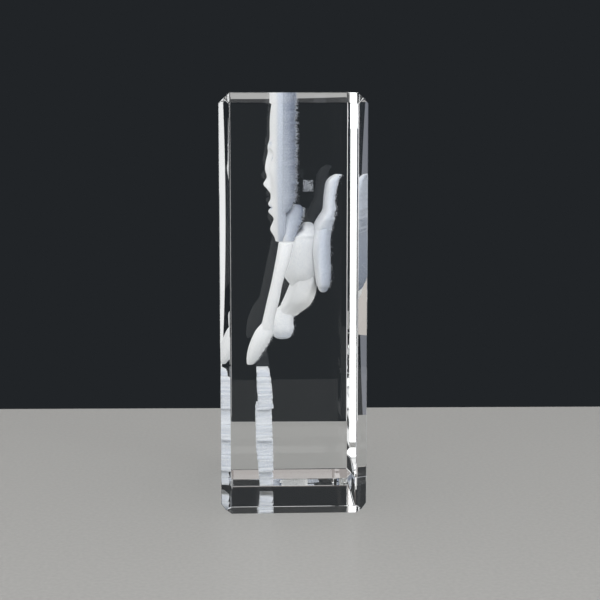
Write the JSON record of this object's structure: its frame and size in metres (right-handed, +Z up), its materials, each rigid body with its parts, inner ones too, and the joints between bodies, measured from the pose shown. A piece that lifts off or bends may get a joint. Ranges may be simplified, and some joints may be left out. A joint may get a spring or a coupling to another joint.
{
  "type": "engraved glass block",
  "caption": "Upright rectangular block of clear polished glass with bevelled edges, holding a frosted half-length figure and plain lines marked inside it, for display on a shelf or desk.",
  "frame": {"origin": "middle of the base, on the surface that the block stands on", "axes": "+Z up, X across the block's thickness, Y along its depth; the marked figure looks towards -X"},
  "size_m": [0.052, 0.08, 0.15],
  "materials": {
    "clear_glass": "polished, optically clear",
    "engraved_glass": "frosted white, matte, sub-surface laser marks"
  },
  "bodies": {
    "root": {"glass_block": "clear_glass", "engraved_face": "engraved_glass", "engraved_hair": "engraved_glass", "engraved_ear": "engraved_glass", "engraved_neck": "engraved_glass", "engraved_chest": "engraved_glass", "engraved_front_arm": "engraved_glass", "engraved_front_hand": "engraved_glass", "engraved_sleeve": "engraved_glass", "engraved_fist": "engraved_glass", "engraved_scarf_hanging_end": "engraved_glass", "engraved_scarf_raised_end": "engraved_glass", "engraved_line_1_1": "engraved_glass", "engraved_line_2_1": "engraved_glass", "engraved_line_2_2": "engraved_glass", "engraved_line_3_1": "engraved_glass", "engraved_line_3_2": "engraved_glass", "engraved_line_4_1": "engraved_glass", "engraved_line_4_2": "engraved_glass", "engraved_line_5_1": "engraved_glass", "engraved_line_5_2": "engraved_glass", "engraved_line_6_1": "engraved_glass", "engraved_line_6_2": "engraved_glass", "engraved_line_7_1": "engraved_glass", "engraved_line_7_2": "engraved_glass", "engraved_line_8_1": "engraved_glass"}
  },
  "joints": []
}
